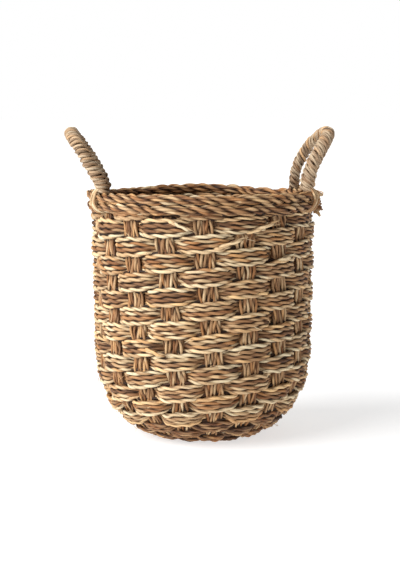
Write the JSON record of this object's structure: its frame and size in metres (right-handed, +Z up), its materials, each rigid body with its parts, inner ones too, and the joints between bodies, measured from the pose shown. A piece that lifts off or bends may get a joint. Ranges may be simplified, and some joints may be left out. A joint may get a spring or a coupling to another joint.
{
  "type": "woven storage basket",
  "caption": "Round upright woven seagrass storage basket with a rounded bottom, a rolled rim border and two stiff wrapped loop handles.",
  "frame": {"origin": "middle of the flat underside of the base coil, on the surface the basket stands on", "axes": "+Z up along the basket's axis; the two handles stand at +X and -X"},
  "size_m": [0.4354, 0.3754, 0.5035],
  "materials": {
    "weave_cream_and_brown": "natural twisted seagrass cord, cream ropes at the edges and brown ropes between, dry and matt",
    "weave_brown": "natural twisted seagrass cord in brown, dry and matt",
    "stakes": "upright bundles of twisted seagrass strands, reddish brown, matt",
    "rim": "rolled and plaited seagrass cord, brown, matt",
    "handle_core": "bare cane",
    "handle_wrap": "twisted seagrass cord wound tightly round the handle, pale grey brown, matt",
    "lashings": "flat cream seagrass strands, dry and matt"
  },
  "bodies": {
    "root": {"under_rim_row": "weave_brown", "weave_row_01": "weave_cream_and_brown", "weave_row_02": "weave_cream_and_brown", "weave_row_03": "weave_cream_and_brown", "weave_row_04": "weave_cream_and_brown", "weave_row_05": "weave_cream_and_brown", "weave_row_06": "weave_cream_and_brown", "weave_row_07": "weave_cream_and_brown", "weave_row_08": "weave_cream_and_brown", "weave_row_09": "weave_cream_and_brown", "weave_row_10": "weave_cream_and_brown", "weave_row_11": "weave_cream_and_brown", "weave_row_12": "weave_cream_and_brown", "weave_row_13": "weave_cream_and_brown", "base_row_1": "weave_brown", "base_row_2": "weave_brown", "base_row_3": "weave_brown", "base_row_4": "weave_brown", "base_row_5": "weave_brown", "base_row_6": "weave_brown", "stake_01": "stakes", "stake_02": "stakes", "stake_03": "stakes", "stake_04": "stakes", "stake_05": "stakes", "stake_06": "stakes", "stake_07": "stakes", "stake_08": "stakes", "stake_09": "stakes", "stake_10": "stakes", "stake_11": "stakes", "stake_12": "stakes", "stake_13": "stakes", "stake_14": "stakes", "stake_15": "stakes", "stake_16": "stakes", "stake_17": "stakes", "stake_18": "stakes", "base_coil": "weave_brown", "rim_border": "rim", "right_handle_core": "handle_core", "right_handle_wrap": "handle_wrap", "left_handle_core": "handle_core", "left_handle_wrap": "handle_wrap", "right_handle_lashing_1": "lashings", "right_handle_lashing_2": "lashings", "left_handle_lashing_1": "lashings", "left_handle_lashing_2": "lashings"}
  },
  "joints": []
}
